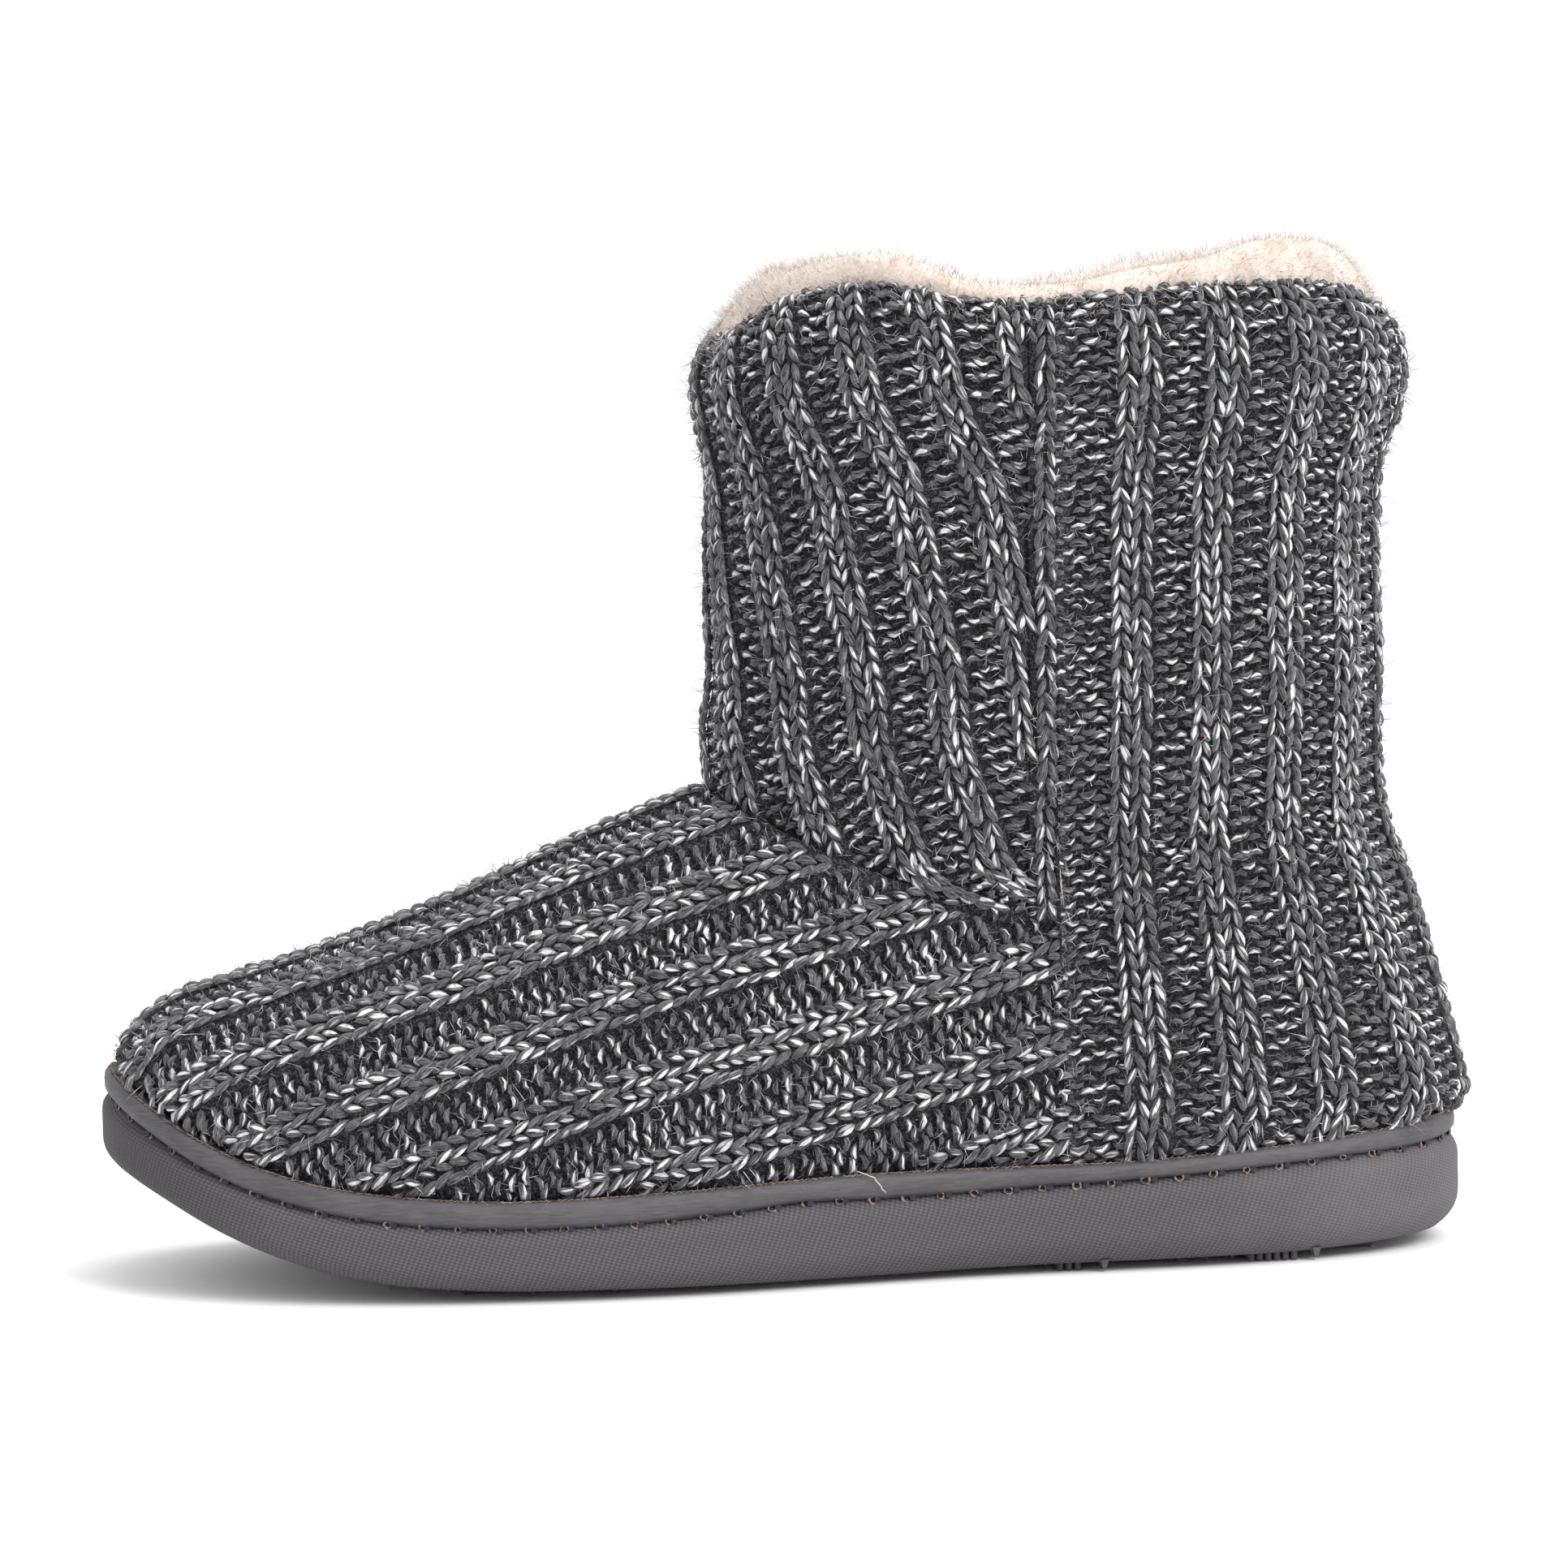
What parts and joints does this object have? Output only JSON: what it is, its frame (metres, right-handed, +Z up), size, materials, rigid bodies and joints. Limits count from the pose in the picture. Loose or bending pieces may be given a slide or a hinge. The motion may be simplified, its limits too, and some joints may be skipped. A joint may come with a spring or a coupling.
{
  "type": "knit bootie slipper",
  "caption": "Left ankle-high knit bootie slipper: ribbed marled upper, plush lining above the collar, stitched rand and lugged rubber sole.",
  "frame": {"origin": "middle of the bounding box at floor level, where the lugs' flat faces rest", "axes": "+X from the toe to the heel, +Y from the lateral to the medial side, +Z up from the floor"},
  "size_m": [0.2696, 0.0968, 0.1994],
  "materials": {
    "knit_wool": "chunky marled charcoal, grey and white rib knit",
    "plush_pile": "soft sheared cream pile",
    "insole_cloth": "short cream pile on a pad",
    "rand_rubber": "smooth satin dark grey",
    "sole_rubber": "matte dark warm grey with a fine woven grain"
  },
  "bodies": {
    "root": {"upper": "knit_wool", "plush_lining": "plush_pile", "insole": "insole_cloth", "rand": "rand_rubber", "outsole": "sole_rubber"}
  },
  "joints": []
}
